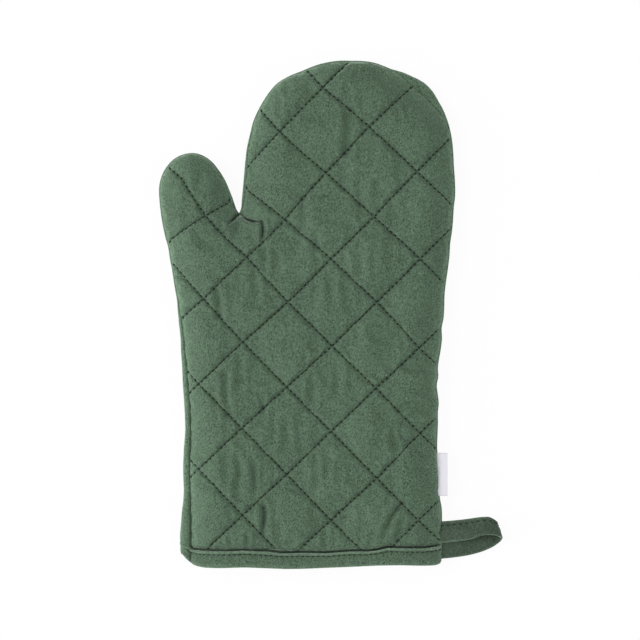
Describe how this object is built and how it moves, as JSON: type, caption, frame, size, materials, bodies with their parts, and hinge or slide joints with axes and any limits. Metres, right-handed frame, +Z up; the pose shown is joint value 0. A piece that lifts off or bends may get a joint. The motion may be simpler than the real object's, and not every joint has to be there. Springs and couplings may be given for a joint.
{
  "type": "oven glove",
  "caption": "Quilted cotton oven glove with one thumb, bound open cuff, hanging loop and bare side label, lying flat; fingers and thumb fold upwards",
  "frame": {"origin": "under the middle of the whole glove, hanging loop included, on the table it lies on", "axes": "+Y from the cuff to the fingertips, +X from the thumb to the hanging loop, +Z up out of the front panel"},
  "size_m": [0.2026, 0.3005, 0.0217],
  "materials": {
    "cloth": "matt woven cotton, quilted in diamonds with dark thread",
    "wadding": "white fibre wadding",
    "lining": "matt woven cotton lining",
    "binding": "matt woven cotton strip, folded and topstitched",
    "tape": "folded and stitched cotton tape",
    "label": "white satin ribbon, bare"
  },
  "bodies": {
    "hand": {"front_cloth_palm": "cloth", "front_wadding_palm": "wadding", "front_lining_palm": "lining", "back_cloth_palm": "cloth", "back_wadding_palm": "wadding", "back_lining_palm": "lining", "cuff_binding": "binding"},
    "fingers": {"front_cloth_fingers": "cloth", "front_wadding_fingers": "wadding", "front_lining_fingers": "lining", "back_cloth_fingers": "cloth", "back_wadding_fingers": "wadding", "back_lining_fingers": "lining"},
    "thumb": {"front_cloth_thumb": "cloth", "front_wadding_thumb": "wadding", "front_lining_thumb": "lining", "back_cloth_thumb": "cloth", "back_wadding_thumb": "wadding", "back_lining_thumb": "lining"},
    "loop": {"hanging_loop": "tape"},
    "label": {"side_label": "label"}
  },
  "joints": [
    {"name": "finger_fold", "type": "hinge", "parent": "hand", "child": "fingers", "pos_m": [0.00846, 0.0606, 0.0206], "axis": [1, 0, 0], "range_deg": [0, 60]},
    {"name": "thumb_fold", "type": "hinge", "parent": "hand", "child": "thumb", "pos_m": [-0.07423, 0.04116, 0.01981], "axis": [0.7071, 0.7071, 0], "range_deg": [0, 55]},
    {"name": "loop_swing", "type": "hinge", "parent": "hand", "child": "loop", "pos_m": [0.06625, -0.1335, 0.01095], "axis": [0, -1, 0], "range_deg": [0, 110]},
    {"name": "label_flap", "type": "hinge", "parent": "hand", "child": "label", "pos_m": [0.06416, -0.095, 0.0093], "axis": [0, -1, 0], "range_deg": [-60, 60], "stiffness_Nm_per_rad": 0.00005}
  ]
}
